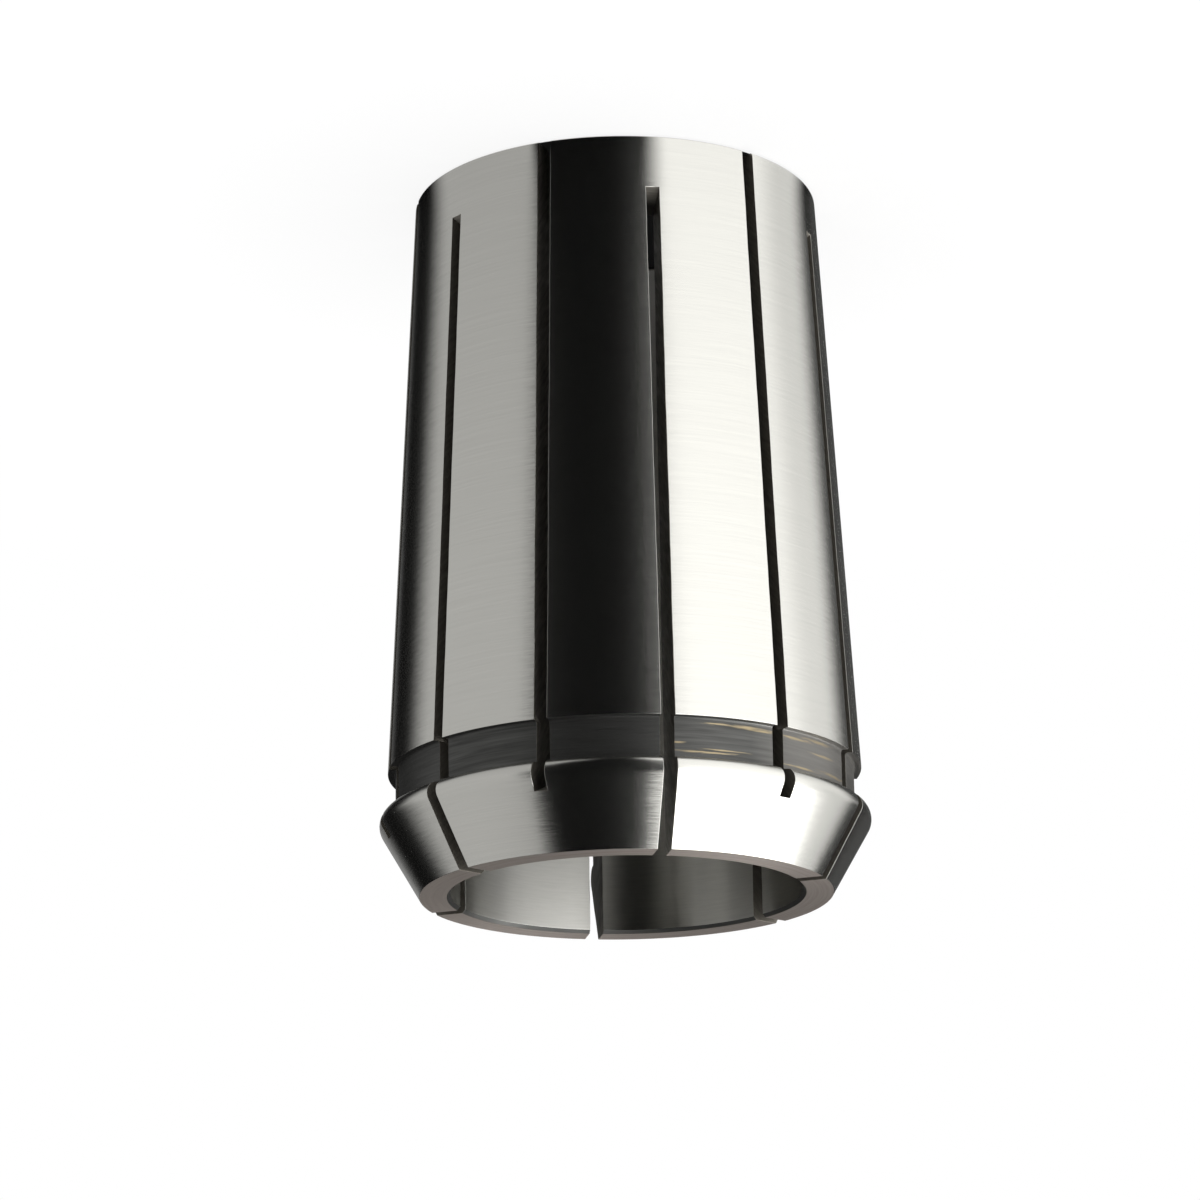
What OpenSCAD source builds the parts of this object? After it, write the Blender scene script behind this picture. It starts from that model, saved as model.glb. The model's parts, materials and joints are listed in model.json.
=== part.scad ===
// Spring collet: one piece of tool steel, turned, sawn and ground.
// It stands on its back end with the nose up. The origin is the middle of the back end
// and +Z runs along the axis to the nose. All lengths are in millimetres.

/* [Overall] */
// Length from the back end to the nose face
length = 52; // [44:1:64]

/* [Nose] */
// Largest diameter, at the edge behind the nose cone
nose_d = 35; // [33:0.5:38]
// Length of the nose, from its face to the wall of the groove
nose_l = 6; // [5:0.1:8]
// Angle between the nose cone and the axis, in degrees
nose_angle = 30; // [20:1:40]
// Radius of the rounded edge at the largest diameter
nose_edge_r = 0.9; // [0.3:0.1:1]

/* [Taper] */
// Length over which the taper's diameter falls by one, as in 1:10
taper_ratio = 10; // [8:0.5:20]
// How far the nose stands out past the large end of the taper
nose_step = 0.6; // [0.3:0.1:1]
// Size of the broken edge at the back end
back_edge = 0.3; // [0.1:0.1:0.8]

/* [Snap groove] */
// Width of the groove between the nose and the taper
groove_w = 2.9; // [2:0.1:5]
// Depth of the groove below the large end of the taper
groove_depth = 0.55; // [0.4:0.05:1.2]
// Radius in the two corners of the groove's floor
groove_corner_r = 0.15; // [0.05:0.05:0.2]

/* [Bore] */
// Diameter of the bore that grips the shank
bore_d = 25; // [16:0.5:26]
// Size of the chamfer at each end of the bore
bore_chamfer = 0.25; // [0.1:0.05:0.6]

/* [Slots] */
// Number of slots that open at each end
slots = 6; // [3:1:8]
// Width of a slot, which is the thickness of the saw
slot_w = 0.95; // [0.6:0.05:1.5]
// Steel left between the back end and the slots that open at the nose
back_bridge = 4; // [2:0.25:8]
// Steel left between the nose face and the slots that open at the back end
nose_bridge = 3.85; // [2:0.05:4.5]
// Diameter of the slitting saw, whose arc ends each slot
saw_d = 50; // [40:1:63]
// How far the saw reaches past the axis of the collet
saw_reach = 0; // [-2:0.5:5]

/* [Hidden] */

$fn = 96;

// Straight stretches that a corner arc of the outline is drawn with
nose_edge_steps = 12;
groove_corner_steps = 3;

// How far a cutter runs past the surface that it leaves
overrun = 1;

// Angle of the first slot. It puts the middle of a tongue, and no slot, at +X.
first_slot = 90 / slots;

// Heights of the groove's two walls
groove_back_z = length - nose_l - groove_w;
groove_nose_z = length - nose_l;

nose_r = nose_d / 2;
taper_r = nose_r - nose_step;
groove_r = taper_r - groove_depth;
back_r = taper_r_at(0);
bore_r = bore_d / 2;

// The nose's edge is a quarter round or more, so it can't be larger than the wall beside it
edge_r = min(nose_edge_r, nose_r - groove_r - groove_corner_r);
edge_centre = [nose_r - edge_r, groove_nose_z + edge_r];

// The nose cone touches that round edge and runs on to the nose face
cone_top = edge_centre + edge_r * [cos(nose_angle), sin(nose_angle)];
face_r = nose_cone_r_at(length);

saw_r = saw_d / 2;
saw_centre_r = saw_r - saw_reach;

// Radius of the taper at height z
function taper_r_at(z) = taper_r - (groove_back_z - z) / (2 * taper_ratio);

// Radius of the nose cone at height z
function nose_cone_r_at(z) = cone_top.x - (z - cone_top.y) * tan(nose_angle);

// Points on an arc of the outline, from one angle to the other
function arc(centre, r, from, to, steps) =
    [for (i = [0:steps]) let (a = from + (to - from) * i / steps) centre + r * [cos(a), sin(a)]];

// Turned outline as [radius, height], from the back end to the nose face
function outline() = concat(
    [[0, 0], [back_r - back_edge, 0], [taper_r_at(back_edge), back_edge], [taper_r, groove_back_z]],
    arc([groove_r + groove_corner_r, groove_back_z + groove_corner_r], groove_corner_r, 270, 180,
        groove_corner_steps),
    arc([groove_r + groove_corner_r, groove_nose_z - groove_corner_r], groove_corner_r, 180, 90,
        groove_corner_steps),
    arc(edge_centre, edge_r, -90, nose_angle, nose_edge_steps),
    [[face_r, length], [0, length]]);

// Outside of the collet, turned and ground
module blank() {
    rotate_extrude() polygon(outline());
}

// Chamfer of the bore at the end that stands at z = 0
module bore_mouth() {
    translate([0, 0, -overrun])
        cylinder(r1 = bore_r + bore_chamfer + overrun, r2 = bore_r, h = bore_chamfer + overrun);
}

// Bore through the collet, with both its chamfers
module bore() {
    translate([0, 0, -overrun]) cylinder(r = bore_r, h = length + 2 * overrun);
    bore_mouth();
    translate([0, 0, length]) mirror([0, 0, 1]) bore_mouth();
}

// Path of the saw for one slot. It comes in from +X and leaves at the top, and its arc
// leaves the given bridge of steel above z = 0, measured on the outside, at radius end_r.
module saw_path(bridge, end_r) {
    centre_z = bridge + sqrt(saw_r * saw_r - (saw_centre_r - end_r) * (saw_centre_r - end_r));
    rotate([90, 0, 0]) linear_extrude(slot_w, center = true) {
        translate([saw_centre_r, centre_z]) circle(r = saw_r);
        translate([0, centre_z]) square([nose_r + overrun, length + overrun - centre_z]);
    }
}

// Slots that open at the nose
module nose_slots() {
    for (i = [0:slots - 1]) rotate(first_slot + 360 * i / slots)
        saw_path(back_bridge, taper_r_at(back_bridge));
}

// Slots that open at the back end, halfway between the others
module back_slots() {
    translate([0, 0, length]) mirror([0, 0, 1])
        for (i = [0:slots - 1]) rotate(first_slot + 360 * (i + 0.5) / slots)
            saw_path(nose_bridge, nose_cone_r_at(length - nose_bridge));
}

module collet() {
    color("silver") difference() {
        blank();
        bore();
        nose_slots();
        back_slots();
    }
}

collet();
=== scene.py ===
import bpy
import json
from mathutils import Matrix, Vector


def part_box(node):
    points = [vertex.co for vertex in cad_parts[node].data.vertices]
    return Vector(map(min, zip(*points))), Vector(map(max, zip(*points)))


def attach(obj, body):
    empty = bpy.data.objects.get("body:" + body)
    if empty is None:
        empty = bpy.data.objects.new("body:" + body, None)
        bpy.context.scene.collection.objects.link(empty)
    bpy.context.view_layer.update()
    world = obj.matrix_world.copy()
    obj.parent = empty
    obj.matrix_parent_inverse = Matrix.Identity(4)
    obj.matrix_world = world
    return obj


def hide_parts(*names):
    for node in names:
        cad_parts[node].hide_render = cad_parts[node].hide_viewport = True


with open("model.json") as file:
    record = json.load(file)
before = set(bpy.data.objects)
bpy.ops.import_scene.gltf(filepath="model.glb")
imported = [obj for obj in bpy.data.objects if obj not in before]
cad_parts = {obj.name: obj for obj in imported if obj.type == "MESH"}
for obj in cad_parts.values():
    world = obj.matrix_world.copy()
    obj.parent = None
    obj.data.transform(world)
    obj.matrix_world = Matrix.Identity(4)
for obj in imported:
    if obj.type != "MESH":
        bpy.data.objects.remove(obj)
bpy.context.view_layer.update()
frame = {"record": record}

import json
from math import cos, pi, radians, sin, sqrt, tan

import bpy
import numpy as np
from bpy.props import FloatProperty, FloatVectorProperty, IntProperty, PointerProperty
from mathutils import Quaternion, Vector

bl_info = {
    "name": "Spring Collet",
    "version": (1, 0, 0),
    "blender": (4, 5, 0),
    "location": "3D View > Sidebar > Collet",
    "description": "Makes a slotted spring collet in ground steel and a plain studio for it",
    "category": "Add Mesh",
}

MM = 0.001

low_corner, high_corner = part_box("collet")
mounts = {mount["name"]: mount for mount in frame["record"]["mounts"]}


def linear(code):
    """Turns an sRGB hex colour into linear light, channel by channel."""
    channels = np.array([int(code[i:i + 2], 16) for i in (0, 2, 4)]) / 255
    dark, bright = channels / 12.92, ((channels + 0.055) / 1.055) ** 2.4
    return tuple(np.where(channels <= 0.04045, dark, bright))


def length_property(name, description, default, smallest, largest):
    """A length in metres with its name, description, default and range."""
    return FloatProperty(name=name, description=description, default=default, min=smallest,
                         max=largest, unit="LENGTH", precision=5)


def colour_property(name, description, code):
    """A colour given as sRGB hex."""
    return FloatVectorProperty(name=name, description=description, default=linear(code), min=0,
                               max=1, size=3, subtype="COLOR")


def share_property(name, description, default):
    """A number from 0 to 1."""
    return FloatProperty(name=name, description=description, default=default, min=0, max=1,
                         subtype="FACTOR")


class ColletSizes(bpy.types.PropertyGroup):
    """Sizes of the collet"""
    length: length_property("Length", "From the back end to the nose face",
                            high_corner.z - low_corner.z, 44 * MM, 64 * MM)
    nose_d: length_property("Nose diameter", "Largest diameter, at the edge behind the nose cone",
                            35 * MM, 33 * MM, 38 * MM)
    nose_l: length_property("Nose length", "From the nose face to the wall of the groove",
                            6 * MM, 5 * MM, 8 * MM)
    nose_angle: FloatProperty(name="Nose angle", description="Between the nose cone and the axis",
                              default=radians(30), min=radians(20), max=radians(40),
                              subtype="ANGLE")
    nose_edge_r: length_property("Nose edge radius", "Rounded edge at the largest diameter",
                                 0.9 * MM, 0.3 * MM, 1 * MM)
    taper_ratio: FloatProperty(name="Taper ratio",
                               description="Length over which the diameter falls by one",
                               default=10, min=8, max=20)
    nose_step: length_property("Nose step", "How far the nose stands out past the taper's large end",
                               0.6 * MM, 0.3 * MM, 1 * MM)
    back_edge: length_property("Back edge", "Size of the broken edge at the back end",
                               0.3 * MM, 0.1 * MM, 0.8 * MM)
    groove_w: length_property("Groove width", "Between the nose and the taper",
                              2.9 * MM, 2 * MM, 5 * MM)
    groove_depth: length_property("Groove depth", "Below the large end of the taper",
                                  0.55 * MM, 0.4 * MM, 1.2 * MM)
    groove_corner_r: length_property("Groove corner radius", "In both corners of the groove's floor",
                                     0.15 * MM, 0.05 * MM, 0.2 * MM)
    bore_d: length_property("Bore diameter", "The bore that grips the shank",
                            2 * mounts["gripping_bore"]["dims"]["r_mm"] * MM, 16 * MM, 26 * MM)
    bore_chamfer: length_property("Bore chamfer", "At each end of the bore",
                                  0.25 * MM, 0.1 * MM, 0.6 * MM)
    slots: IntProperty(name="Slots", description="Number of slots that open at each end",
                       default=6, min=3, max=8)
    slot_w: length_property("Slot width", "Thickness of the saw", 0.95 * MM, 0.6 * MM, 1.5 * MM)
    back_bridge: length_property("Back bridge", "Steel between the back end and the nose's slots",
                                 4 * MM, 2 * MM, 8 * MM)
    nose_bridge: length_property("Nose bridge", "Steel between the nose face and the back's slots",
                                 3.85 * MM, 2 * MM, 4.5 * MM)
    saw_d: length_property("Saw diameter", "Slitting saw, whose arc ends each slot",
                           50 * MM, 40 * MM, 63 * MM)
    saw_reach: length_property("Saw reach", "How far the saw reaches past the axis",
                               0, -2 * MM, 5 * MM)
    slot_wander: length_property("Slot wander", "How far a sawn edge strays from its line",
                                 0.02 * MM, 0, 0.05 * MM)
    edge_round: length_property("Edge round", "Roundness of every worn corner",
                                0.03 * MM, 0, 0.1 * MM)


class ColletFinish(bpy.types.PropertyGroup):
    """Colours and finishes of the collet's surfaces"""
    ground: colour_property("Ground steel", "Taper and nose cone", "D5D4CE")
    groove: colour_property("Groove", "Snap groove and the bore's nose chamfer, dark from hardening",
                            "565654")
    # Painted sheen: the lighter colour on the side of the groove that mirrors the white light
    painted_sheen: colour_property("Thin film", "Groove where its oxide is thin", "807E7A")
    stain: colour_property("Stain", "Tan streaks in the groove", "B3A382")
    turned: colour_property("Turned faces", "Nose face, back face and the bore's back chamfer",
                            "8E8680")
    honed: colour_property("Honed bore", "Wall of the bore", "BAB9B4")
    sawn: colour_property("Sawn walls", "Sides of the slots, dark with old oil", "69655D")
    # Near the bore the slot ends get painted shade, darker than this colour
    slot_end: colour_property("Slot ends", "Where the saw's arc stopped, bare near the skin",
                              "8E8A82")
    ground_roughness: share_property("Ground roughness", "Of the taper and the nose cone", 0.22)
    honed_roughness: share_property("Honed roughness", "Of the bore", 0.3)


class StudioSettings(bpy.types.PropertyGroup):
    """The camera, the lamp and the cards that the steel reflects"""
    lens: FloatProperty(name="Lens", description="Focal length on a 36 mm wide sensor, in millimetres",
                        default=136.04, min=20, max=400, unit="CAMERA")
    camera_reach: length_property("Camera reach", "From the collet's axis to the camera",
                                  314.41 * MM, 0.1, 2)
    camera_height: length_property("Camera height", "Above the back end", 122.21 * MM, 0, 1)
    camera_turn: FloatProperty(name="Camera turn", description="Round the axis, from +X",
                               default=radians(-94.66), subtype="ANGLE")
    camera_roll: FloatProperty(name="Camera roll",
                               description="The photograph shows the nose downwards",
                               default=radians(179.11), subtype="ANGLE")
    aim_height: length_property("Aim height", "Height of the point that the camera looks at",
                                30.09 * MM, 0, 0.1)
    aim_side: length_property("Aim side", "How far that point lies to the side of the axis",
                              1.563 * MM, -0.02, 0.02)
    card_reach: length_property("Card reach", "From the collet to the cards round it",
                                200 * MM, 0.1, 1)
    lamp_power: FloatProperty(name="Lamp power", description="Of the soft lamp, in watts",
                              default=4, min=0, max=50, unit="POWER")
    lamp_size: length_property("Lamp size", "Across the soft lamp", 0.8, 0.1, 2)
    fill: share_property("Fill", "Strength of the even light from all round", 0.75)


# Outline of the collet as rows of points, each a radius and a height

# Distance between the rows of the bore beside a wall of the groove, whose own rows share one height:
# two across the back wall and one across the nose wall
ROW_GAP = 0.05 * MM

# Share of the bore between the groove and the slot ends that has the rows of the rounded edge
EDGE_SHARE = 0.6


def straight(start, end, steps):
    """Points of a straight stretch: start + share (end - start), without the end itself."""
    share = np.arange(steps)[:, None] / steps
    return np.array(start) + share * (np.array(end) - np.array(start))


def arc(centre, radius, first, last, steps):
    """Points of a round stretch: centre + radius (cos a, sin a), with a from first to last, without
    the last point itself."""
    angle = first + (last - first) * np.arange(steps) / steps
    return np.array(centre) + radius * np.stack([np.cos(angle), np.sin(angle)], axis=1)


def saw_height(bridge, end_r, radius, s):
    """Height of the saw's arc over its own end of the collet. The saw's centre lies its radius less
    saw_reach from the axis, and its edge passes through the radius end_r at the height bridge."""
    saw_r = s.saw_d / 2
    centre_r = saw_r - s.saw_reach
    centre_z = bridge + sqrt(saw_r ** 2 - (centre_r - end_r) ** 2)
    return centre_z - np.sqrt(saw_r ** 2 - (centre_r - radius) ** 2)


class Outline:
    """Outer skin and bore of the collet, row by row from the back end to the nose face."""

    def __init__(self, s):
        self.s = s
        nose_r = s.nose_d / 2
        self.bore_r = s.bore_d / 2
        self.mouth_r = self.bore_r + s.bore_chamfer
        self.taper_r = nose_r - s.nose_step
        self.groove_r = self.taper_r - s.groove_depth
        self.groove_back = s.length - s.nose_l - s.groove_w
        self.groove_nose = s.length - s.nose_l
        self.edge_r = min(s.nose_edge_r, nose_r - self.groove_r - s.groove_corner_r)
        self.edge_centre = np.array([nose_r - self.edge_r, self.groove_nose + self.edge_r])
        out = np.array([cos(s.nose_angle), sin(s.nose_angle)])
        self.cone_top = self.edge_centre + self.edge_r * out
        self.nose_slot_end = [self.taper_at(s.back_bridge), s.back_bridge]
        back_slot_z = s.length - s.nose_bridge
        self.back_slot_end = [self.cone_at(back_slot_z), back_slot_z]
        self.outer, self.inner, self.finish, self.bore_finish = [], [], [], []
        self.bore_point = [self.mouth_r, 0]
        self.add_taper()
        self.add_groove()
        self.add_nose()
        self.outer = np.vstack([*self.outer, [[self.cone_at(s.length), s.length]]])
        self.inner = np.vstack([*self.inner, [[self.mouth_r, s.length]]])

    def taper_at(self, height):
        """Radius of the taper: it falls by half of one in taper_ratio below its large end."""
        return self.taper_r - (self.groove_back - height) / (2 * self.s.taper_ratio)

    def cone_at(self, height):
        """Radius of the nose cone: it falls with the tangent of its angle above the rounded edge."""
        return self.cone_top[0] - (height - self.cone_top[1]) * tan(self.s.nose_angle)

    def rows(self):
        """Number of rows so far."""
        return sum(len(part) for part in self.outer)

    def add(self, finish, outer, bore_end, bore_finish="honed"):
        """Adds a stretch of the outer skin, with as many rows of the bore beside it, up to the point
        bore_end."""
        self.outer.append(outer)
        self.inner.append(straight(self.bore_point, bore_end, len(outer)))
        self.bore_point = bore_end
        self.finish += [finish] * len(outer)
        self.bore_finish += [bore_finish] * len(outer)

    def add_taper(self):
        """Broken edge of the back end, and the taper up to the groove. The slots that open at the
        nose end on a row of their own."""
        s, bore_r = self.s, self.bore_r
        back_r = self.taper_at(s.back_edge)
        broken_centre = [back_r - s.back_edge, s.back_edge]
        slot_bore = float(saw_height(s.back_bridge, self.nose_slot_end[0], bore_r, s))
        self.add("ground", arc(broken_centre, s.back_edge, -pi / 2, 0, steps=5),
                 [bore_r, s.bore_chamfer], "turned")
        self.add("ground", straight([back_r, s.back_edge], self.nose_slot_end, steps=8),
                 [bore_r, slot_bore])
        self.nose_slot_row = self.rows()
        self.add("ground", straight(self.nose_slot_end, [self.taper_r, self.groove_back], steps=84),
                 [bore_r, self.groove_back - 2 * ROW_GAP])

    def add_groove(self):
        """The groove: its back wall, its floor with a round corner at each side, its nose wall."""
        bore_r, floor_r, corner = self.bore_r, self.groove_r, self.s.groove_corner_r
        wall_r = floor_r + corner
        low, high = self.groove_back + corner, self.groove_nose - corner
        back_wall = straight([self.taper_r, self.groove_back], [wall_r, self.groove_back], steps=2)
        nose_wall = straight([wall_r, self.groove_nose], [self.edge_centre[0], self.groove_nose],
                             steps=1)
        self.add("groove", back_wall, [bore_r, self.groove_back])
        self.add("groove", arc([wall_r, low], corner, -pi / 2, -pi, steps=3), [bore_r, low])
        self.add("groove", straight([floor_r, low], [floor_r, high], steps=8), [bore_r, high])
        self.add("groove", arc([wall_r, high], corner, pi, pi / 2, steps=3),
                 [bore_r, self.groove_nose - ROW_GAP])
        self.add("groove", nose_wall, [bore_r, self.groove_nose])

    def add_nose(self):
        """The rounded edge and the nose cone. The slots that open at the back end stop on a row of
        their own, and the last rows stand beside the bore's chamfer."""
        s, bore_r = self.s, self.bore_r
        rim = s.length - s.bore_chamfer
        slot_bore = s.length - float(saw_height(s.nose_bridge, self.back_slot_end[0], bore_r, s))
        beside_edge = self.groove_nose + EDGE_SHARE * (slot_bore - self.groove_nose)
        cone_rim, cone_end = [self.cone_at(rim), rim], [self.cone_at(s.length), s.length]
        self.add("ground", arc(self.edge_centre, self.edge_r, -pi / 2, s.nose_angle, steps=16),
                 [bore_r, beside_edge])
        self.add("ground", straight(self.cone_top, self.back_slot_end, steps=2),
                 [bore_r, slot_bore])
        self.back_slot_row = self.rows()
        self.add("ground", straight(self.back_slot_end, cone_rim, steps=9), [bore_r, rim])
        self.add("ground", straight(cone_rim, cone_end, steps=2), [self.mouth_r, s.length], "groove")


# Surface of the collet

# Finishes, in the order of the material slots
FINISHES = ["ground", "groove", "turned", "honed", "sawn", "slot_end"]

# Cells from the bore to the outer skin, and cells round one tongue
LAYERS = 6
TONGUE_STEPS = 10

# Waves by which a sawn edge strays: the share and the length of each
WANDER_WAVES = [(0.5, 17 * MM), (0.3, 5.3 * MM), (0.2, 2.1 * MM)]
WANDER_SEED = 25

# Angle between two faces from which the edge between them is a corner
CORNER_ANGLE = radians(28)


def section_grid(outline, s):
    """Radius and height of every row and layer: a layer's share of the way from bore to skin.
    The two rows where slots end follow the saw's arc."""
    share = np.linspace(0, 1, LAYERS + 1)[None, :, None]
    grid = outline.inner[:, None] + share * (outline.outer - outline.inner)[:, None]
    low, high = outline.nose_slot_row, outline.back_slot_row
    grid[low, :, 1] = saw_height(s.back_bridge, grid[low, -1, 0], grid[low, :, 0], s)
    grid[high, :, 1] = s.length - saw_height(s.nose_bridge, grid[high, -1, 0], grid[high, :, 0], s)
    return grid


def stray(height, count):
    """How far each edge of each slot strays from its line, as a share: sines along the height, each
    with its own share, length and random start."""
    starts = (len(WANDER_WAVES), count, 2, 1, 1)
    start = np.random.default_rng(WANDER_SEED).uniform(0, 2 * pi, starts)
    return sum(share * np.sin(2 * pi * height / wave + start[i])
               for i, (share, wave) in enumerate(WANDER_WAVES))


def column_angles(radius, height, s):
    """Angle of every row, column and layer. Each slot has an edge on either side of its middle, at
    the arcsine of half its width over the radius, so its walls are flat and parallel. The columns
    of a tongue share out the angle between two slots."""
    count = 2 * s.slots
    half = np.arcsin((s.slot_w / 2 + s.slot_wander * stray(height, count)) / radius)
    middle = (2 * pi * (np.arange(count) + 0.5) / count)[:, None, None]
    before, after = middle - half[:, 0], middle + half[:, 1]
    following = np.roll(before, -1, axis=0)
    following[-1] += 2 * pi
    share = np.arange(TONGUE_STEPS) / TONGUE_STEPS
    tongue = after[..., None] + share * (following - after)[..., None]
    angle = np.concatenate([before[..., None], tongue], axis=-1)
    return angle.transpose(1, 0, 3, 2).reshape(len(radius), -1, radius.shape[1])


def cell_is_steel(outline, s):
    """Which cells of the skin are steel: all but the slots from the nose above their saw arc, and
    the slots from the back end below theirs. The two kinds of slot take turns."""
    rows = np.arange(len(outline.outer) - 1)[:, None]
    column = np.arange(2 * s.slots * (TONGUE_STEPS + 1))[None]
    in_slot = column % (TONGUE_STEPS + 1) == 0
    from_nose = column // (TONGUE_STEPS + 1) % 2 == 0
    open_nose = in_slot & from_nose & (rows >= outline.nose_slot_row)
    open_back = in_slot & ~from_nose & (rows < outline.back_slot_row)
    return ~(open_nose | open_back)


def skin_faces(solid, finish, bore_finish):
    """Four-cornered faces of the steel's surface with their finishes. The points are numbered by
    row, column and layer. There is a face wherever a solid cell meets an open one or the outside,
    wound so that it looks out of the steel."""
    rows, columns = solid.shape
    point = np.arange((rows + 1) * columns * (LAYERS + 1)).reshape(rows + 1, columns, LAYERS + 1)
    beside = np.roll(point, -1, axis=1)
    number = {name: i for i, name in enumerate(FINISHES)}
    outside = np.broadcast_to(np.array([number[name] for name in finish])[:, None], solid.shape)
    inside = np.broadcast_to(np.array([number[name] for name in bore_finish])[:, None], solid.shape)
    faces, kinds = [], []

    def keep(corners, where, kind, flip):
        """Keeps the faces of a set that are wanted, turned over if flip says so."""
        quads = np.stack(corners[::-1] if flip else corners, axis=-1)
        faces.append(quads[where].reshape(-1, 4))
        kinds.append(np.broadcast_to(kind, where.shape)[where].reshape(-1))

    for layer, kind, flip in ((LAYERS, outside, False), (0, inside, True)):
        corners = [point[:-1, :, layer], beside[:-1, :, layer], beside[1:, :, layer],
                   point[1:, :, layer]]
        keep(corners, solid, kind, flip)
    nothing = np.zeros((1, columns), bool)
    below, above = np.vstack([nothing, solid]), np.vstack([solid, nothing])
    row_kind = np.full((rows + 1, columns), number["slot_end"])
    row_kind[[0, -1]] = number["turned"]
    level = [point[..., :-1], point[..., 1:], beside[..., 1:], beside[..., :-1]]
    for where, flip in ((below & ~above, False), (above & ~below, True)):
        keep(level, where[..., None] & np.ones(LAYERS, bool), row_kind[..., None], flip)
    left = np.roll(solid, 1, axis=1)
    upright = [point[:-1, :, :-1], point[1:, :, :-1], point[1:, :, 1:], point[:-1, :, 1:]]
    for where, flip in ((left & ~solid, False), (solid & ~left, True)):
        keep(upright, where[..., None] & np.ones(LAYERS, bool), number["sawn"], flip)
    return np.concatenate(faces), np.concatenate(kinds)


def collet_surface(outline, s):
    """Points of the collet, (radius cos a, radius sin a, height) at each row, column and layer, with
    its faces and the number of each face's finish."""
    grid = section_grid(outline, s)
    radius, height = grid[..., 0], grid[..., 1]
    angle = column_angles(radius, height, s)
    points = np.stack([radius[:, None] * np.cos(angle), radius[:, None] * np.sin(angle),
                       np.broadcast_to(height[:, None], angle.shape)], axis=-1)
    faces, kinds = skin_faces(cell_is_steel(outline, s), outline.finish, outline.bore_finish)
    return points.reshape(-1, 3), faces, kinds


def mesh_from_faces(name, points, faces):
    """Puts whole arrays of points and four-cornered faces into a new mesh, shaded smooth. Points
    that no face uses are left out."""
    used, corners = np.unique(faces, return_inverse=True)
    mesh = bpy.data.meshes.new(name)
    mesh.vertices.add(len(used))
    mesh.vertices.foreach_set("co", points[used].astype(np.float32).ravel())
    mesh.loops.add(faces.size)
    mesh.loops.foreach_set("vertex_index", corners.astype(np.int32).ravel())
    mesh.polygons.add(len(faces))
    mesh.polygons.foreach_set("loop_start", np.arange(0, faces.size, 4, dtype=np.int32))
    mesh.polygons.foreach_set("use_smooth", np.ones(len(faces), bool))
    mesh.update(calc_edges=True)
    return mesh


def mark_corners(mesh, angle):
    """Gives each outward corner sharper than angle a bevel weight, and keeps each inward one sharp.
    Each edge of a closed surface has two faces; the corner is outward where the second face's
    middle lies behind the first."""
    edge_of_loop = np.empty(len(mesh.loops), np.int32)
    mesh.loops.foreach_get("edge_index", edge_of_loop)
    if np.any(np.bincount(edge_of_loop, minlength=len(mesh.edges)) != 2):
        raise RuntimeError("the surface is not closed")
    pair = (np.argsort(edge_of_loop, kind="stable") // 4).reshape(-1, 2)
    normal = np.empty(3 * len(mesh.polygons), np.float32)
    middle = np.empty(3 * len(mesh.polygons), np.float32)
    mesh.polygons.foreach_get("normal", normal)
    mesh.polygons.foreach_get("center", middle)
    normal, middle = normal.reshape(-1, 3), middle.reshape(-1, 3)
    first, second = pair[:, 0], pair[:, 1]
    corner = np.sum(normal[first] * normal[second], axis=1) < cos(angle)
    outward = np.sum(normal[first] * (middle[second] - middle[first]), axis=1) < 0
    weight = mesh.attributes.new("bevel_weight_edge", "FLOAT", "EDGE")
    weight.data.foreach_set("value", (corner & outward).astype(np.float32))
    sharp = mesh.attributes.new("sharp_edge", "BOOLEAN", "EDGE")
    sharp.data.foreach_set("value", corner & ~outward)


def wear_corners(item, width):
    """Rounds the corners that have a bevel weight."""
    worn = item.modifiers.new("worn corners", "BEVEL")
    worn.limit_method = "WEIGHT"
    worn.width = width
    worn.segments = 2
    worn.use_clamp_overlap = False
    worn.harden_normals = True


# Finishes

# Range that holds most of what a noise gives, and the narrower one that frays the streaks
NOISE_RANGE = (0.3, 0.7)
STREAK_NOISE_RANGE = (0.35, 0.65)

# Pitch and run of the short marks that fray the edges of what the steel mirrors
HAIR_PITCH = 0.1 * MM
HAIR_RUN = 1.3 * MM

# Turn of the highlights from the direction of the marks, in whole turns: straight across them
QUARTER_TURN = 0.25

# Tan streaks in the groove: degrees round the axis, height, half length and half thickness in mm
STREAKS = [(-115, 45.5, 1.9, 0.07), (-119.5, 45.3, 1.4, 0.06), (-118, 43.45, 1.2, 0.06),
           (-126, 43.5, 2.2, 0.10), (-130.5, 43.55, 1.1, 0.09), (-141, 43.6, 1.5, 0.09),
           (-150, 43.4, 1.3, 0.09), (-152, 44.3, 1.2, 0.08), (-157, 45.4, 1.6, 0.09),
           (-143, 45.6, 1.7, 0.06), (-107.5, 44.9, 0.4, 0.06)]

# How much of the groove's colour a streak covers, and where it fades out, in halves of its size
STREAK_COVER = 0.8
STREAK_FULL = 0.3
STREAK_END = 1.4

# Pitch and run of the marks that fray a streak's edge, and how far, in halves of its size
STREAK_PITCH = 0.08 * MM
STREAK_RUN = 1.5 * MM
STREAK_FRAY = 0.5

# Side of the groove that is painted lighter, as painted sheen where it mirrors the white light, round
# from +X, and the angles from there within which it is lightest and past which it keeps the groove's
# dark colour
PAINTED_SHEEN_TURN = radians(-162)
PAINTED_SHEEN_FULL = radians(8)
PAINTED_SHEEN_NONE = radians(35)

# Radius up to which the end of a slot is painted dark, as painted shade deep in the slot, the radius
# from which it has no painted shade, and the brightness of that shade as a share of the sawn walls'
# colour
PAINTED_SHADE_FULL_TO = 13.3 * MM
PAINTED_SHADE_NONE_FROM = 14.3 * MM
PAINTED_SHADE_LEVEL = 0.2


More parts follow.
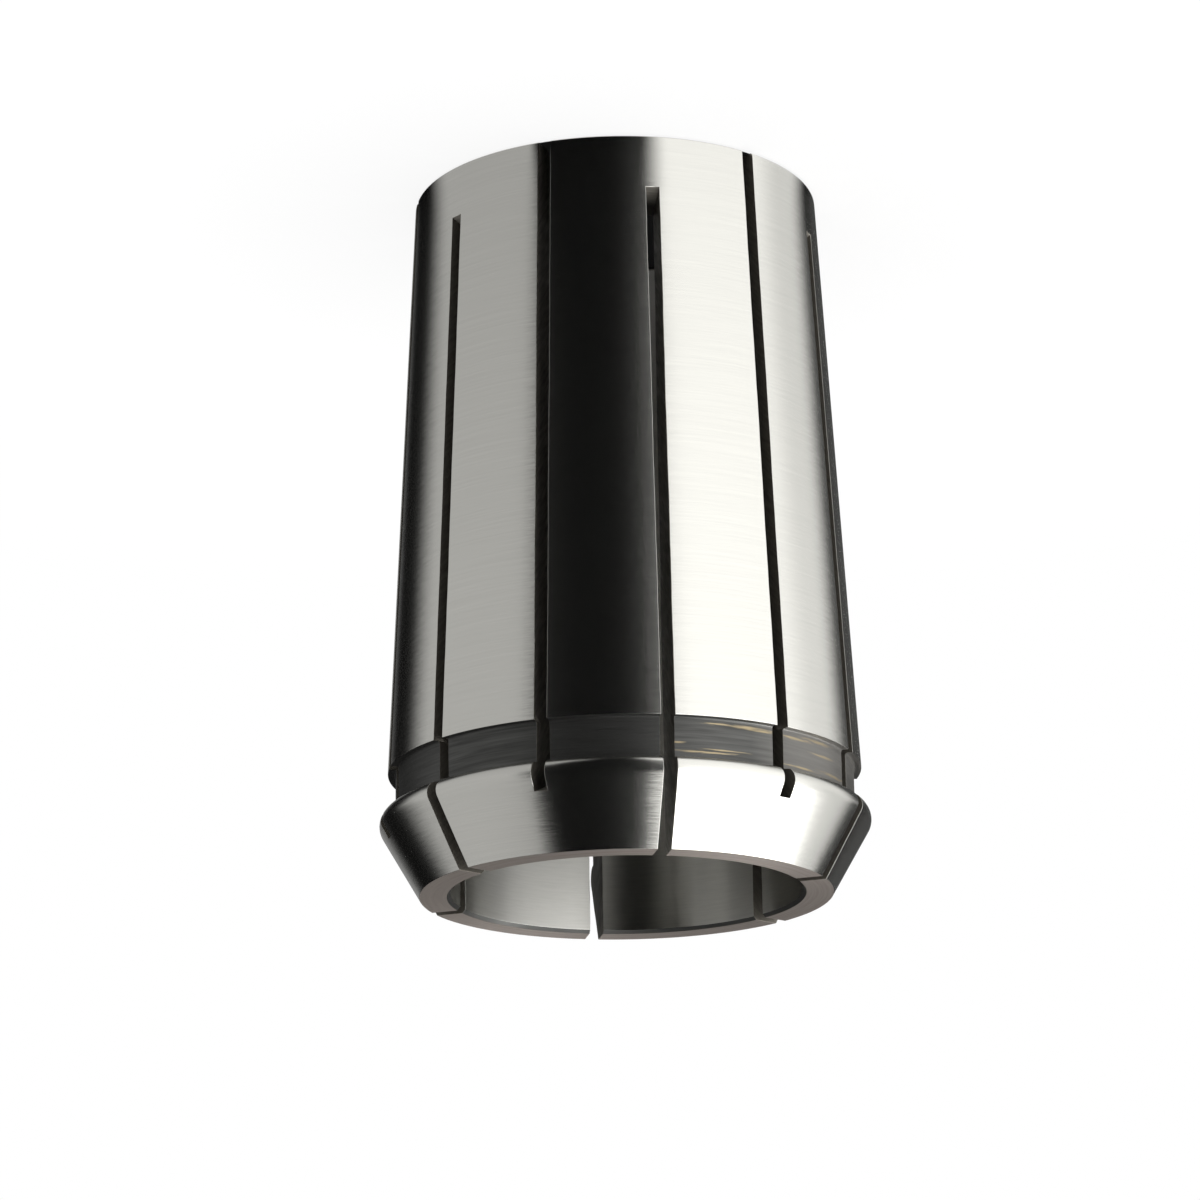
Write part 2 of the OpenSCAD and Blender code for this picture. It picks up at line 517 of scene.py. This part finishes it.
def add_node(tree, kind, settings=None, inputs=None):
    """Adds a node, with its settings, and its inputs as values or as links from other sockets."""
    node = tree.nodes.new(kind)
    for name, value in (settings or {}).items():
        setattr(node, name, value)
    for name, value in (inputs or {}).items():
        if isinstance(value, bpy.types.NodeSocket):
            tree.links.new(value, node.inputs[name])
        else:
            node.inputs[name].default_value = value
    return node


def new_material(name, shader_kind, inputs=None):
    """A material with one shader at its output."""
    material = bpy.data.materials.new(name)
    material.use_nodes = True
    tree = material.node_tree
    tree.nodes.clear()
    shader = add_node(tree, shader_kind, None, inputs)
    add_node(tree, "ShaderNodeOutputMaterial", None, {"Surface": shader.outputs[0]})
    return material, tree, shader


def round_axis(tree):
    """A place across the axis as a vector, its distance from the axis, and its height."""
    place = add_node(tree, "ShaderNodeTexCoord")
    split = add_node(tree, "ShaderNodeSeparateXYZ", None, {0: place.outputs["Object"]})
    flat = add_node(tree, "ShaderNodeVectorMath", {"operation": "MULTIPLY"},
                    {0: place.outputs["Object"], 1: (1, 1, 0)})
    radius = add_node(tree, "ShaderNodeVectorMath", {"operation": "LENGTH"}, {0: flat.outputs[0]})
    return flat.outputs[0], radius.outputs["Value"], split.outputs["Z"]


def rings(tree, pitch, run):
    """Noise drawn out round the axis, as a tool or a wheel leaves its lines: it changes over one
    pitch along the outline, which height minus radius follows, and over one run round it."""
    flat, radius, height = round_axis(tree)
    along = add_node(tree, "ShaderNodeMath", {"operation": "SUBTRACT"}, {0: height, 1: radius})
    drawn = add_node(tree, "ShaderNodeCombineXYZ", None, {"Z": along.outputs[0]})
    around = add_node(tree, "ShaderNodeVectorMath", {"operation": "SCALE"},
                      {0: flat, "Scale": 1 / run})
    across = add_node(tree, "ShaderNodeVectorMath", {"operation": "SCALE"},
                      {0: drawn.outputs[0], "Scale": 1 / pitch})
    both = add_node(tree, "ShaderNodeVectorMath", {"operation": "ADD"},
                    {0: around.outputs[0], 1: across.outputs[0]})
    noise = add_node(tree, "ShaderNodeTexNoise", None,
                     {"Vector": both.outputs[0], "Scale": 1.0, "Detail": 2.0, "Roughness": 0.6})
    return noise.outputs["Fac"]


def spread(tree, value, low, high, out_low, out_high):
    """Carries a value from one range to another, and holds it at the ends."""
    node = add_node(tree, "ShaderNodeMapRange", None,
                    {"Value": value, "From Min": low, "From Max": high,
                     "To Min": out_low, "To Max": out_high})
    return node.outputs["Result"]


def tinted(tree, value, first, second):
    """Mixes two colours by a value. Each is given as linear light or as a socket."""
    node = add_node(tree, "ShaderNodeMix", {"data_type": "RGBA"}, {"Factor": value})
    ends = [socket for socket in node.inputs if socket.type == "RGBA"]
    for socket, colour in zip(ends, (first, second)):
        if isinstance(colour, bpy.types.NodeSocket):
            tree.links.new(colour, socket)
        else:
            socket.default_value = (*colour, 1)
    return next(socket for socket in node.outputs if socket.type == "RGBA")


def shade(colour, factor):
    """A colour made darker or lighter by a factor."""
    return tuple(min(1.0, channel * factor) for channel in colour)


def steel(name, colour, roughness, pitch, run, depth, anisotropic, contrast, ragged=0.0,
          metallic=1.0):
    """Bare steel with rings of tool marks: they vary its colour and roughness by the share contrast
    and give it a relief of the depth. Its highlights stretch along the axis, across the marks.
    Short marks lean the surface to either side by the slope ragged, which frays the edges of what
    it mirrors. Where a thin film of oxide or oil covers it, metallic is less than 1."""
    material, tree, shader = new_material(name, "ShaderNodeBsdfPrincipled")
    marks = rings(tree, pitch, run)
    tone = spread(tree, marks, *NOISE_RANGE, 0, 1)
    mixed = tinted(tree, tone, shade(colour, 1 - contrast), shade(colour, 1 + contrast / 2))
    tree.links.new(mixed, shader.inputs["Base Color"])
    rough = spread(tree, marks, *NOISE_RANGE, roughness * (1 + contrast), roughness * (1 - contrast))
    tree.links.new(rough, shader.inputs["Roughness"])
    bump = add_node(tree, "ShaderNodeBump", None,
                    {"Height": marks, "Strength": 1.0, "Distance": depth})
    tangent = add_node(tree, "ShaderNodeTangent", {"direction_type": "RADIAL", "axis": "Z"})
    slope = spread(tree, rings(tree, HAIR_PITCH, HAIR_RUN), *NOISE_RANGE, -ragged, ragged)
    lean = add_node(tree, "ShaderNodeVectorMath", {"operation": "SCALE"},
                    {0: tangent.outputs[0], "Scale": slope})
    normal = add_node(tree, "ShaderNodeVectorMath", {"operation": "ADD"},
                      {0: bump.outputs[0], 1: lean.outputs[0]})
    tree.links.new(normal.outputs[0], shader.inputs["Normal"])
    tree.links.new(tangent.outputs[0], shader.inputs["Tangent"])
    shader.inputs["Metallic"].default_value = metallic
    shader.inputs["Anisotropic"].default_value = anisotropic
    shader.inputs["Anisotropic Rotation"].default_value = QUARTER_TURN
    return material, tree, shader


def ground_steel(f):
    """Hardened tool steel, ground round the axis to a satin mirror. The wheel's lines are far finer
    than this; they are drawn 0.1 mm apart so that they show."""
    return steel("ground_steel", f.ground, f.ground_roughness, pitch=0.1 * MM, run=8 * MM,
                 depth=0.00015 * MM, anisotropic=0.7, contrast=0.03, ragged=0.01)[0]


def unrolled(tree, radius):
    """Arc length from +X and height on a cylinder of this radius, laid flat."""
    place = add_node(tree, "ShaderNodeTexCoord")
    split = add_node(tree, "ShaderNodeSeparateXYZ", None, {0: place.outputs["Object"]})
    angle = add_node(tree, "ShaderNodeMath", {"operation": "ARCTAN2"},
                     {0: split.outputs["Y"], 1: split.outputs["X"]})
    length = add_node(tree, "ShaderNodeMath", {"operation": "MULTIPLY"},
                      {0: angle.outputs[0], 1: radius})
    flat = add_node(tree, "ShaderNodeCombineXYZ", None,
                    {"X": length.outputs[0], "Y": split.outputs["Z"]})
    return flat.outputs[0]


def streaks(tree, radius):
    """How near a place in the groove is to a streak: 0 at its middle and 1 at its edge, by the
    distance round the groove and up it, each over half the streak's size."""
    flat = unrolled(tree, radius)
    nearest = None
    for turn, height, length, thickness in STREAKS:
        away = add_node(tree, "ShaderNodeVectorMath", {"operation": "SUBTRACT"},
                        {0: flat, 1: (radians(turn) * radius, height * MM, 0)})
        scaled = add_node(tree, "ShaderNodeVectorMath", {"operation": "MULTIPLY"},
                          {0: away.outputs[0], 1: (1 / (length * MM), 1 / (thickness * MM), 0)})
        size = add_node(tree, "ShaderNodeVectorMath", {"operation": "LENGTH"},
                        {0: scaled.outputs[0]}).outputs["Value"]
        nearest = size if nearest is None else add_node(
            tree, "ShaderNodeMath", {"operation": "MINIMUM"}, {0: nearest, 1: size}).outputs[0]
    return nearest


def hardened_groove(f, radius):
    """Turned steel left as it came from hardening: dark, with a coarse feed and tan streaks. On the
    side that mirrors the white light its colour is painted lighter, as painted sheen. The groove's
    floor has the given radius."""
    material, tree, shader = steel("hardened_groove", f.groove, roughness=0.48, pitch=0.22 * MM,
                                   run=6 * MM, depth=0.003 * MM, anisotropic=0.4, contrast=0.24,
                                   metallic=0.88)
    dark = shader.inputs["Base Color"].links[0].from_socket
    place = add_node(tree, "ShaderNodeTexCoord")
    towards = add_node(tree, "ShaderNodeVectorMath", {"operation": "DOT_PRODUCT"},
                       {0: place.outputs["Object"], 1: (cos(PAINTED_SHEEN_TURN), sin(PAINTED_SHEEN_TURN), 0)})
    # Painted sheen: the groove's colour turns lighter towards that side
    sheen_side = spread(tree, towards.outputs["Value"], radius * cos(PAINTED_SHEEN_NONE), radius * cos(PAINTED_SHEEN_FULL),
                  0, 1)
    bare = tinted(tree, sheen_side, dark, f.painted_sheen)
    frayed = spread(tree, rings(tree, STREAK_PITCH, STREAK_RUN), *STREAK_NOISE_RANGE,
                    STREAK_FRAY, -STREAK_FRAY)
    near = add_node(tree, "ShaderNodeMath", {"operation": "ADD"},
                    {0: streaks(tree, radius), 1: frayed})
    mask = spread(tree, near.outputs[0], STREAK_FULL, STREAK_END, STREAK_COVER, 0)
    tree.links.new(tinted(tree, mask, bare, f.stain), shader.inputs["Base Color"])
    return material


def turned_steel(f):
    """Faces left from the lathe: matte, a little pink, with the rings of the turning tool."""
    return steel("turned_steel", f.turned, roughness=0.5, pitch=0.2 * MM, run=6 * MM,
                 depth=0.002 * MM, anisotropic=0.65, contrast=0.12, metallic=0.55)[0]


def honed_steel(f):
    """The bore, honed or ground inside: duller than the taper. Its marks are drawn 0.12 mm apart,
    coarser than they are, so that they show."""
    return steel("honed_steel", f.honed, f.honed_roughness, pitch=0.12 * MM, run=2 * MM,
                 depth=0.0001 * MM, anisotropic=1.0, contrast=0.06, ragged=0.012)[0]


def sawn_steel(f):
    """Walls of the slots, left from the slitting saw: rough and dark."""
    return steel("sawn_steel", f.sawn, roughness=0.5, pitch=0.3 * MM, run=1 * MM,
                 depth=0.003 * MM, anisotropic=0.2, contrast=0.2, metallic=0.75)[0]


def slot_end_steel(f):
    """Ends of the slots, left bare by the slitting saw. Near the bore their colour is painted dark, as
    painted shade deep in the slot.
    """
    material, tree, shader = steel("slot_end_steel", f.slot_end, roughness=0.5, pitch=0.2 * MM,
                                   run=1 * MM, depth=0.002 * MM, anisotropic=0, contrast=0.2,
                                   metallic=0.6)
    bare = shader.inputs["Base Color"].links[0].from_socket
    # Painted shade: the colour darkens towards the bore, deep in the slot
    painted_shade = spread(tree, round_axis(tree)[1], PAINTED_SHADE_FULL_TO, PAINTED_SHADE_NONE_FROM, 1, 0)
    shaded_colour = tinted(tree, painted_shade, bare, shade(f.sawn, PAINTED_SHADE_LEVEL))
    tree.links.new(shaded_colour, shader.inputs["Base Color"])
    return material


class COLLET_OT_collet(bpy.types.Operator):
    """Makes the slotted collet, from its outline and its slots"""
    bl_idname = "collet.add_collet"
    bl_label = "Collet"
    bl_options = {"REGISTER", "UNDO"}

    def execute(self, context):
        sizes, finish = context.scene.collet_sizes, context.scene.collet_finish
        outline = Outline(sizes)
        points, faces, kinds = collet_surface(outline, sizes)
        mesh = mesh_from_faces("spring_collet", points, faces)
        materials = {"ground": ground_steel(finish),
                     "groove": hardened_groove(finish, outline.groove_r),
                     "turned": turned_steel(finish),
                     "honed": honed_steel(finish),
                     "sawn": sawn_steel(finish),
                     "slot_end": slot_end_steel(finish)}
        for name in FINISHES:
            mesh.materials.append(materials[name])
        mesh.polygons.foreach_set("material_index", kinds.astype(np.int32))
        mark_corners(mesh, CORNER_ANGLE)
        collet = bpy.data.objects.new("spring_collet", mesh)
        context.scene.collection.objects.link(collet)
        wear_corners(collet, sizes.edge_round)
        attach(collet, "root")
        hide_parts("collet")
        return {"FINISHED"}


# Stage

# Cards that the steel reflects. Each has its two sides, as the places on the collet that mirror them,
# in degrees round from the side that faces the camera, image right positive; its lowest and highest
# elevation; after each of these the width over which it fades; and how bright it is. Between the
# cards it is dark.
CARDS = [("low grey card", -59, 12, -22.5, 3.5, -10, 1, 14, 12, 0.59),
         ("high grey card", -57, 14, -20.6, 2.5, 14, 12, 58, 6, 0.58),
         ("white card", 11, 8, 46, 14, -10, 1, 14, 12, 0.5),
         ("light card", 11, 8, 63, 12, -10, 1, 14, 12, 1.02),
         ("high white card", 12.5, 6, 62, 5, 14, 12, 38, 6, 0.84),
         ("key card", 11.5, 5, 34, 38, 15, 14, 38, 6, 3.1),
         ("top card", 9, 7, 55, 30, 38, 6, 78, 16, 3.9),
         ("high side card", 38, 14, 70, 12, 46, 10, 68, 10, 4.0),
         ("faint edge", 6, 14, 12, 4, -10, 1, 14, 12, 0.05),
         ("left side card", -100, 10, -79, 12, -10, 1, 16, 12, 0.3),
         ("right side card", 72, 10, 90, 20, -10, 1, 60, 10, 0.07)]
DARK = 0.006

# The cards' grid: its columns round the collet, its rows along the floor and up the bowl, where the
# bowl ends near its top, and how far it lies above the floor
CARD_COLUMNS = 361
FLOOR_ROWS = 60
CLIMB_ROWS = 45
BOWL_END = radians(89)
CARD_LIFT = 0.1 * MM

# The taper widens upwards, so what mirrors a card further out has a larger radius: it grows by this
# share of the card's distance, as far as the taper goes
TAPER_GROWTH = 0.02
TAPER_GROWTH_END = 120 * MM

# Least elevation at which a column has turned to the direction that the nose cone mirrors
LEAST_CONE_ELEVATION = radians(15)

# Share of their brightness that the cards have on the floor at the foot, and the distance from there
# at which they have all of it
FOOT_GLOW = 0.85
FULL_GLOW_FROM = 95 * MM

# The floor: its side in metres, the distances between which the collet's shadow fades out, how much
# of it is plain white near the collet, how pale its paper is outside the bore, and how dark its paper
# is painted under the bore, as painted shade
FLOOR_SIDE = 3
SHADOW_FADE = (0.03, 0.1)
NEAR_WHITE = 0.8
PAPER = (0.9, 0.9, 0.9)
# The paper under the bore is painted shade, not the paper's own colour
PAPER_PAINTED_DARK_UNDER_BORE = (0.02, 0.02, 0.02)

# Place of the soft lamp in metres, and width of the camera's sensor in millimetres
LAMP_PLACE = (0.03, -0.06, 0.8)
SENSOR_WIDTH = 36


def smooth(value, middle, width):
    """Rises from 0 to 1 as 3 t t - 2 t t t over the width round middle."""
    t = np.clip((value - middle) / width + 0.5, 0, 1)
    return t * t * (3 - 2 * t)


def glow_at(degrees, elevation):
    """Brightness of the cards at the angles given, in degrees."""
    glow = DARK
    for _, first, first_fade, last, last_fade, low, low_fade, high, high_fade, brightness in CARDS:
        across = smooth(degrees, first, first_fade) * (1 - smooth(degrees, last, last_fade))
        up = smooth(elevation, low, low_fade) * (1 - smooth(elevation, high, high_fade))
        glow = glow + brightness * across * up
    return glow


def foot_radius(s):
    """Radius of the ring on which the collet stands."""
    return Outline(s).taper_at(0) - s.back_edge


def mirrored(turn, lean, s, height):
    """Azimuth from the camera and elevation in which a surface leaning up by lean mirrors the line
    of sight, at the angle turn round from the camera: r = 2 (n.v) n - v."""
    rise = np.arctan2(s.camera_height - height, s.camera_reach)
    n = np.stack([cos(lean) * np.cos(turn), cos(lean) * np.sin(turn), np.full_like(turn, sin(lean))])
    v = np.array([np.cos(rise), 0, np.sin(rise)]).reshape(3, *[1] * np.ndim(turn))
    r = 2 * np.sum(n * v, axis=0) * n - v
    return np.unwrap(np.arctan2(r[1], r[0])), np.arcsin(r[2])


def card_grid(s, sizes):
    """Points of the cards round the collet as one bowl, and how bright each is. A column leaves the
    collet's foot at an angle from the camera, its turn, and runs along the floor in the direction in
    which the taper mirrors the camera's line of sight there, as far as card_reach. Then it climbs
    over the collet on a circle of that radius, through the direction in which the nose cone mirrors
    the line of sight."""
    turn = np.radians(np.linspace(-90, 90, CARD_COLUMNS))
    floor = s.card_reach * np.linspace(0, 1, FLOOR_ROWS, endpoint=False) ** 2
    climb = np.linspace(0, BOWL_END, CLIMB_ROWS)
    away = np.concatenate([floor, s.card_reach * np.cos(climb)])[:, None]
    up = CARD_LIFT + np.concatenate([np.zeros_like(floor), s.card_reach * np.sin(climb)])[:, None]
    elevation = np.concatenate([np.zeros_like(floor), climb])[:, None]
    start = foot_radius(sizes) + TAPER_GROWTH * np.minimum(away, TAPER_GROWTH_END)
    taper = 2 * turn + start / s.camera_reach * np.sin(turn)
    cone, cone_elevation = mirrored(turn, sizes.nose_angle, s, sizes.length)
    share = np.clip(elevation / np.maximum(cone_elevation, LEAST_CONE_ELEVATION), 0, 1)
    mirror = s.camera_turn - (taper + share * (cone - 2 * turn))
    side = s.camera_turn - turn
    x = start * np.cos(side) + away * np.cos(mirror)
    y = start * np.sin(side) + away * np.sin(mirror)
    points = np.stack([x, y, np.broadcast_to(up, x.shape)], axis=-1)
    near_foot = np.interp(away, [0, FULL_GLOW_FROM], [FOOT_GLOW, 1])
    glow = glow_at(np.degrees(turn), np.degrees(elevation)) * np.where(elevation > 0, 1, near_foot)
    return points, glow


def grid_faces(rows, columns):
    """Faces of a grid that closes on itself sideways."""
    point = np.arange(rows * columns).reshape(rows, columns)
    beside = np.roll(point, -1, axis=1)
    return np.stack([point[:-1], beside[:-1], beside[1:], point[1:]], axis=-1).reshape(-1, 4)


def only_glossy(item):
    """Leaves an object to glossy rays alone, so that only the steel sees it."""
    item.visible_camera = False
    item.visible_diffuse = False
    item.visible_transmission = False
    item.visible_volume_scatter = False
    item.visible_shadow = False


def make_cards(context, s, sizes):
    """The bowl of cards, each part as bright as it is to look in the steel."""
    points, glow = card_grid(s, sizes)
    mesh = mesh_from_faces("studio_cards", points.reshape(-1, 3), grid_faces(*points.shape[:2]))
    brightness = mesh.attributes.new("glow", "FLOAT", "POINT")
    brightness.data.foreach_set("value", glow.astype(np.float32).ravel())
    material, tree, shader = new_material("card", "ShaderNodeEmission")
    level = add_node(tree, "ShaderNodeAttribute", {"attribute_name": "glow"})
    tree.links.new(level.outputs["Fac"], shader.inputs["Strength"])
    material.cycles.emission_sampling = "NONE"
    mesh.materials.append(material)
    cards = bpy.data.objects.new("studio_cards", mesh)
    context.scene.collection.objects.link(cards)
    only_glossy(cards)


def seen_directly(tree):
    """1 for camera, glossy and transmission rays, and 0 for the rest."""
    path = add_node(tree, "ShaderNodeLightPath")
    seen = add_node(tree, "ShaderNodeMath", {"operation": "MAXIMUM"},
                    {0: path.outputs["Is Camera Ray"], 1: path.outputs["Is Glossy Ray"]})
    return add_node(tree, "ShaderNodeMath", {"operation": "MAXIMUM"},
                    {0: seen.outputs[0], 1: path.outputs["Is Transmission Ray"]}).outputs[0]


def floor_material(inner_radius):
    """Matte white paper, mixed with the plain white of the background, with more of that outwards
    and none within inner_radius, under the bore. There the paper's colour is painted dark, as painted
    shade where little light gets in."""
    material, tree, shader = new_material("white_floor", "ShaderNodeMixShader")
    place = add_node(tree, "ShaderNodeTexCoord")
    far = add_node(tree, "ShaderNodeVectorMath", {"operation": "LENGTH"},
                   {0: place.outputs["Object"]})
    share = spread(tree, far.outputs["Value"], *SHADOW_FADE, NEAR_WHITE, 1)
    outside = add_node(tree, "ShaderNodeMath", {"operation": "GREATER_THAN"},
                       {0: far.outputs["Value"], 1: inner_radius})
    plain = add_node(tree, "ShaderNodeMath", {"operation": "MULTIPLY"},
                     {0: share, 1: outside.outputs[0]})
    weight = add_node(tree, "ShaderNodeMath", {"operation": "MULTIPLY"},
                      {0: plain.outputs[0], 1: seen_directly(tree)})
    # Under the bore the paper's colour is dark: painted shade
    colour = tinted(tree, outside.outputs[0], PAPER_PAINTED_DARK_UNDER_BORE, PAPER)
    paper = add_node(tree, "ShaderNodeBsdfDiffuse", None, {"Color": colour})
    white = add_node(tree, "ShaderNodeEmission", None, {"Color": (1, 1, 1, 1), "Strength": 1.0})
    tree.links.new(weight.outputs[0], shader.inputs[0])
    tree.links.new(paper.outputs[0], shader.inputs[1])
    tree.links.new(white.outputs[0], shader.inputs[2])
    return material


def make_floor(context, sizes):
    """A white floor. Near the collet it takes its shadow, and outwards it turns into the plain white
    of the background."""
    corners = FLOOR_SIDE / 2 * np.array([[-1, -1, 0], [1, -1, 0], [1, 1, 0], [-1, 1, 0]])
    mesh = mesh_from_faces("floor", corners, np.array([[0, 1, 2, 3]]))
    mesh.materials.append(floor_material(foot_radius(sizes)))
    floor = bpy.data.objects.new("floor", mesh)
    context.scene.collection.objects.link(floor)


def make_world(context, s):
    """White behind everything, and a soft even light on the floor and the collet."""
    world = bpy.data.worlds.new("studio")
    context.scene.world = world
    world.use_nodes = True
    tree = world.node_tree
    tree.nodes.clear()
    strength = spread(tree, seen_directly(tree), 0, 1, s.fill, 1)
    background = add_node(tree, "ShaderNodeBackground", None,
                          {"Color": (1, 1, 1, 1), "Strength": strength})
    add_node(tree, "ShaderNodeOutputWorld", None, {"Surface": background.outputs[0]})


def make_lamp(context, s):
    """One large soft lamp above, for the shadow on the floor. It faces the collet."""
    lamp = bpy.data.lights.new("soft_lamp", "AREA")
    lamp.shape = "DISK"
    lamp.size = s.lamp_size
    lamp.energy = s.lamp_power
    item = bpy.data.objects.new("soft_lamp", lamp)
    item.location = LAMP_PLACE
    item.rotation_euler = Vector(LAMP_PLACE).to_track_quat("Z", "Y").to_euler()
    item.visible_glossy = False
    context.scene.collection.objects.link(item)


def make_camera(context, s):
    """The photograph's camera. It looks down on the nose and is rolled over, so that the nose is at
    the bottom of the picture."""
    data = bpy.data.cameras.new("camera")
    data.lens = s.lens
    data.sensor_width = SENSOR_WIDTH
    data.clip_start, data.clip_end = 0.01, 10
    camera = bpy.data.objects.new("camera", data)
    out = Vector((cos(s.camera_turn), sin(s.camera_turn), 0))
    side = Vector((-sin(s.camera_turn), cos(s.camera_turn), 0))
    camera.location = out * s.camera_reach + Vector((0, 0, s.camera_height))
    aim = side * s.aim_side + Vector((0, 0, s.aim_height))
    look = (aim - camera.location).to_track_quat("-Z", "Y")
    camera.rotation_mode = "QUATERNION"
    camera.rotation_quaternion = look @ Quaternion((0, 0, 1), s.camera_roll)
    context.scene.collection.objects.link(camera)
    context.scene.camera = camera


class COLLET_OT_stage(bpy.types.Operator):
    """Makes the floor, the background, the lamp, the cards and the camera"""
    bl_idname = "collet.add_stage"
    bl_label = "Stage"
    bl_options = {"REGISTER", "UNDO"}

    def execute(self, context):
        sizes, studio = context.scene.collet_sizes, context.scene.collet_studio
        make_camera(context, studio)
        make_world(context, studio)
        make_floor(context, sizes)
        make_lamp(context, studio)
        make_cards(context, studio, sizes)
        context.scene.view_settings.view_transform = "Standard"
        return {"FINISHED"}


class COLLET_PT_panel(bpy.types.Panel):
    """Lists the sizes, the finishes, the studio and the pieces"""
    bl_label = "Spring Collet"
    bl_idname = "COLLET_PT_panel"
    bl_space_type = "VIEW_3D"
    bl_region_type = "UI"
    bl_category = "Collet"

    def draw(self, context):
        for setting in GROUPS:
            group = getattr(context.scene, setting)
            box = self.layout.box()
            for name in group.__annotations__:
                box.prop(group, name)
        for operator in (COLLET_OT_collet, COLLET_OT_stage):
            self.layout.operator(operator.bl_idname)


GROUPS = {"collet_sizes": ColletSizes, "collet_finish": ColletFinish, "collet_studio": StudioSettings}
CLASSES = (*GROUPS.values(), COLLET_OT_collet, COLLET_OT_stage, COLLET_PT_panel)


def register():
    """Registers the classes and puts the groups of settings on the scene."""
    for item in CLASSES:
        bpy.utils.register_class(item)
    for name, group in GROUPS.items():
        setattr(bpy.types.Scene, name, PointerProperty(type=group))


def unregister():
    """Takes away what register added."""
    for name in GROUPS:
        delattr(bpy.types.Scene, name)
    for item in reversed(CLASSES):
        bpy.utils.unregister_class(item)


def main():
    """Makes the collet and its stage."""
    register()
    bpy.ops.collet.add_collet()
    bpy.ops.collet.add_stage()


if __name__ == "__main__":
    main()
